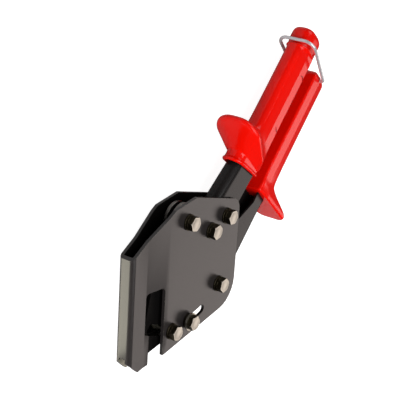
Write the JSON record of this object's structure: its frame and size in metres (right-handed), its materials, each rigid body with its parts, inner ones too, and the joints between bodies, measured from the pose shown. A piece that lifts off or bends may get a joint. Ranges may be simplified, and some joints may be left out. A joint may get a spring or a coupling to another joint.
{
  "type": "metal stud cutter",
  "caption": "Hand-held cutter with a folded sheet head, a stud slot, blades worked by a hinged lower lever, moulded grips with finger guards and a wire latch.",
  "frame": {"origin": "on the lower lever's pivot axis, in the plane of the nuts' outer faces", "axes": "X along the grips towards their ends, Y towards the upper grip's back, Z along the pivots towards the bolt heads"},
  "size_m": [0.291, 0.1508, 0.0374],
  "materials": {
    "black_coat": "satin black coat",
    "plated_steel": "bright nickel or zinc plate",
    "turned_steel": "turned, oiled",
    "blade_steel": "ground",
    "spring_steel": "oiled wire",
    "red_vinyl": "glossy red moulding",
    "latch_wire": "bright plated wire"
  },
  "bodies": {
    "frame": {"body_shell": "black_coat", "frame_bolts": "plated_steel", "frame_washers": "plated_steel", "lock_washers": "plated_steel", "frame_nuts": "plated_steel", "blade_bush": "turned_steel", "blade_rings": "turned_steel", "lever_bush": "turned_steel", "tie_spacer": "turned_steel", "clamp_spacers": "turned_steel", "upper_shank": "black_coat", "upper_grip": "red_vinyl", "return_spring": "spring_steel"},
    "lower_lever": {"lower_shank": "black_coat", "lower_grip": "red_vinyl", "drive_pin": "turned_steel"},
    "blade_set": {"near_blade": "blade_steel", "far_blade": "blade_steel", "pivot_spacer": "turned_steel", "guide_spacer": "turned_steel", "guide_rings": "turned_steel", "guide_bolt": "plated_steel", "guide_collar": "plated_steel", "guide_washers": "plated_steel", "guide_nut": "plated_steel"},
    "latch": {"latch_bail": "latch_wire"}
  },
  "joints": [
    {"name": "lever_hinge", "type": "hinge", "parent": "frame", "child": "lower_lever", "pos_m": [0, 0, 0.0154], "axis": [0, 0, -1], "range_deg": [0, 26]},
    {"name": "blade_hinge", "type": "hinge", "parent": "frame", "child": "blade_set", "pos_m": [0.01683, 0.07184, 0.0154], "axis": [0, 0, 1], "range_deg": [0, 12.5]},
    {"name": "latch_hinge", "type": "hinge", "parent": "frame", "child": "latch", "pos_m": [0.1889, 0.04165, 0.0154], "axis": [0, 0, 1], "range_deg": [0, 140]}
  ],
  "couplings": [
    {"joint": "blade_hinge", "follows": "lever_hinge", "ratio": 0.48077}
  ]
}
